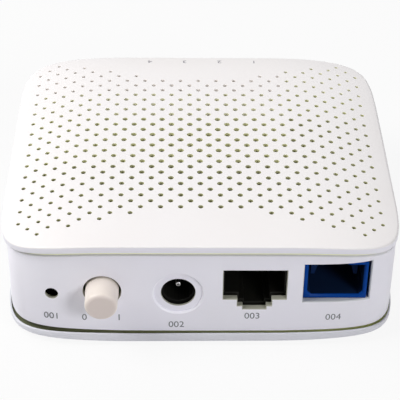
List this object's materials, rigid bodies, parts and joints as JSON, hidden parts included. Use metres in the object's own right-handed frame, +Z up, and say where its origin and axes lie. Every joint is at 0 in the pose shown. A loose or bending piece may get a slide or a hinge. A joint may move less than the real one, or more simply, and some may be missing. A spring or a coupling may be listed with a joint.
{
  "type": "optical network terminal",
  "caption": "Low rounded-square optical network terminal with a perforated crowned lid, a row of ports and a round push button on its front wall.",
  "frame": {"origin": "on the surface that the feet stand on, at the middle of the footprint box, which includes the push button", "axes": "+Z up, -Y out of the wall that holds the ports, +X to the right as that wall is seen from outside"},
  "size_m": [0.0796, 0.0782, 0.025],
  "materials": {
    "case_white": "fine satin",
    "button_cream": "satin",
    "adapter_blue": "semi-gloss",
    "jack_black": "matte",
    "board_green": "solder mask",
    "chip_black": "moulded",
    "steel": "plated",
    "gold": "gold plated",
    "aluminium": "satin",
    "ferrite": "sintered",
    "ceramic": "polished",
    "rubber": "matte",
    "lamp_clear": "clear"
  },
  "bodies": {
    "case": {"top_cover": "case_white", "middle_frame": "case_white", "bottom_cover": "case_white", "foot_1": "rubber", "foot_2": "rubber", "foot_3": "rubber", "foot_4": "rubber", "case_screw_1": "steel", "case_screw_2": "steel", "case_screw_3": "steel", "case_screw_4": "steel", "main_board": "board_green", "lan_jack_housing": "jack_black", "lan_contact_1": "gold", "lan_contact_2": "gold", "lan_contact_3": "gold", "lan_contact_4": "gold", "lan_contact_5": "gold", "lan_contact_6": "gold", "lan_contact_7": "gold", "lan_contact_8": "gold", "lan_transformer": "chip_black", "dc_jack_housing": "jack_black", "dc_jack_pin": "steel", "dc_jack_leaf": "gold", "power_switch_body": "jack_black", "power_switch_spring": "steel", "reset_switch_body": "jack_black", "sc_adapter": "adapter_blue", "sc_sleeve": "ceramic", "optic_body": "steel", "laser_can": "gold", "receiver_can": "gold", "main_chip": "chip_black", "heat_sink": "aluminium", "memory_chip": "chip_black", "flash_chip": "chip_black", "crystal": "steel", "inductor_1": "ferrite", "inductor_2": "ferrite", "capacitor_1": "aluminium", "capacitor_2": "aluminium", "lamp_1": "lamp_clear", "lamp_2": "lamp_clear", "lamp_3": "lamp_clear", "lamp_4": "lamp_clear", "light_pipe_1": "lamp_clear", "light_pipe_2": "lamp_clear", "light_pipe_3": "lamp_clear", "light_pipe_4": "lamp_clear"},
    "power_button": {"power_button": "button_cream", "power_switch_plunger": "jack_black"},
    "reset_button": {"reset_plunger": "ceramic"}
  },
  "joints": [
    {"name": "power_button_slide", "type": "slide", "parent": "case", "child": "power_button", "axis": [0, 1, 0], "range_m": [0, 0.0025], "stiffness_N_per_m": 800, "springref_m": -0.0005, "deforming": ["power_switch_spring"]},
    {"name": "reset_slide", "type": "slide", "parent": "case", "child": "reset_button", "axis": [0, 1, 0], "range_m": [0, 0.0003], "stiffness_N_per_m": 4000, "springref_m": -0.0001}
  ]
}
